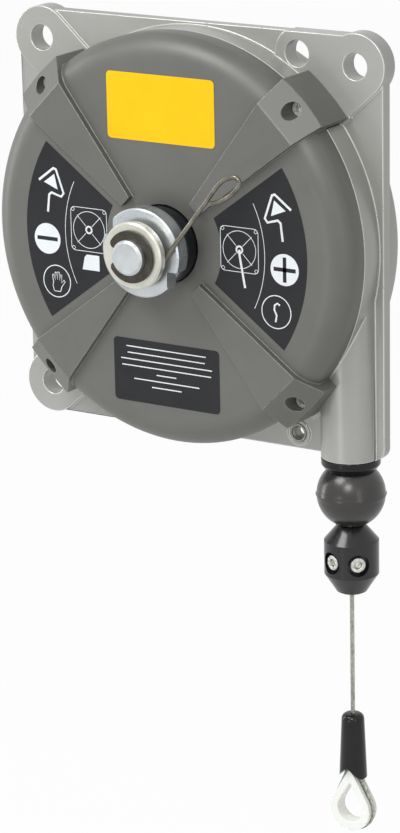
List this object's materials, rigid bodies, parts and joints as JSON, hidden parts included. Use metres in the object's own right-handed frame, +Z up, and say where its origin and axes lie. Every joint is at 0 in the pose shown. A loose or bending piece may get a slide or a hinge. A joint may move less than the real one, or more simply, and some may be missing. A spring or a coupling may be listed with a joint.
{
  "type": "tool balancer",
  "caption": "Spring tool balancer with a square lugged cast housing, dished cover, winding hub with brake lever, and a steel rope with buffer ball, stop clamp and thimble.",
  "frame": {"origin": "middle of the suspension hole in the top right lug, halfway through the lug", "axes": "+Z up, the rope leaves downwards along -Z; -Y is the front, where the cover and hub are; +X is to the right seen from the front"},
  "size_m": [0.28, 0.1351, 0.5378],
  "materials": {
    "housing_metal": "satin metallic lacquer on die casting",
    "cover_metal": "dark semi-gloss lacquer on die casting",
    "zinc_steel": "bright zinc plate",
    "yellow_zinc": "yellowish zinc plate",
    "blue_zinc": "bluish zinc plate",
    "dark_steel": "oil-blackened",
    "spring_steel": "brownish drawn wire",
    "bearing_steel": "ground",
    "drum_alloy": "machined casting",
    "wire_rope": "stranded, lightly greased",
    "guide_plastic": "natural nylon",
    "yellow_label": "printed film, no lettering",
    "dark_label": "printed film, plain symbols",
    "black_plastic": "moulded",
    "buffer_rubber": "moulded, faint seam",
    "clamp_plastic": "black lacquer",
    "core_brass": "turned",
    "ferrule_alloy": "pressed",
    "thimble_plastic": "ivory moulding",
    "sleeve_rubber": "moulded"
  },
  "bodies": {
    "housing": {"rear_housing": "housing_metal", "corner_bush": "zinc_steel", "front_cover": "cover_metal", "cover_bush": "guide_plastic", "cover_screws": "zinc_steel", "upper_label": "yellow_label", "lower_label": "dark_label", "left_dial_label": "dark_label", "right_dial_label": "dark_label", "axle": "zinc_steel", "collar_key": "dark_steel", "retaining_ring": "dark_steel", "thrust_collar": "yellow_zinc", "axle_washer": "zinc_steel", "axle_nut": "zinc_steel", "tube_rope": "wire_rope", "exit_bush": "black_plastic", "drawn_rope": "wire_rope"},
    "adjuster": {"adjusting_hub": "blue_zinc", "arbor_clip": "dark_steel", "front_bearing_inner_race": "bearing_steel", "rear_bearing_inner_race": "bearing_steel"},
    "brake": {"brake_spring": "spring_steel"},
    "drum": {"rope_drum": "drum_alloy", "drum_plate": "drum_alloy", "drum_plate_screws": "zinc_steel", "spring_case": "zinc_steel", "spring_case_lid": "zinc_steel", "power_spring": "spring_steel", "rope_anchor": "zinc_steel", "wound_rope": "wire_rope", "front_bearing_outer_race": "bearing_steel", "front_bearing_balls": "bearing_steel", "front_bearing_cage": "guide_plastic", "rear_bearing_outer_race": "bearing_steel", "rear_bearing_balls": "bearing_steel", "rear_bearing_cage": "guide_plastic"},
    "load_end": {"load_rope": "wire_rope", "ferrule": "ferrule_alloy", "rope_loop": "wire_rope", "thimble": "thimble_plastic", "rope_sleeve": "sleeve_rubber"},
    "stop": {"stop_ball": "buffer_rubber", "stop_clamp": "clamp_plastic", "clamp_core": "core_brass", "clamp_screws": "zinc_steel"}
  },
  "joints": [
    {"name": "drum_spin", "type": "hinge", "parent": "housing", "child": "drum", "pos_m": [-0.119, 0, -0.118], "axis": [0, 1, 0], "range_deg": [0, 1032], "stiffness_Nm_per_rad": 0.2, "springref_deg": -2005.35, "deforming": ["power_spring"]},
    {"name": "rope_travel", "type": "slide", "parent": "housing", "child": "load_end", "axis": [0, 0, -1], "range_m": [0, 2], "deforming": ["drawn_rope"]},
    {"name": "hub_adjust", "type": "hinge", "parent": "housing", "child": "adjuster", "pos_m": [-0.119, 0, -0.118], "axis": [0, -1, 0], "range_deg": [0, 1170]},
    {"name": "brake_release", "type": "hinge", "parent": "housing", "child": "brake", "pos_m": [-0.119, 0, -0.118], "axis": [0, -1, 0], "range_deg": [0, 20], "stiffness_Nm_per_rad": 1.2, "springref_deg": -5.73},
    {"name": "stop_slide", "type": "slide", "parent": "load_end", "child": "stop", "axis": [0, 0, -1], "range_m": [0, 0.06]}
  ],
  "couplings": [
    {"joint": "rope_travel", "follows": "drum_spin", "m_per_rad": 0.111}
  ]
}
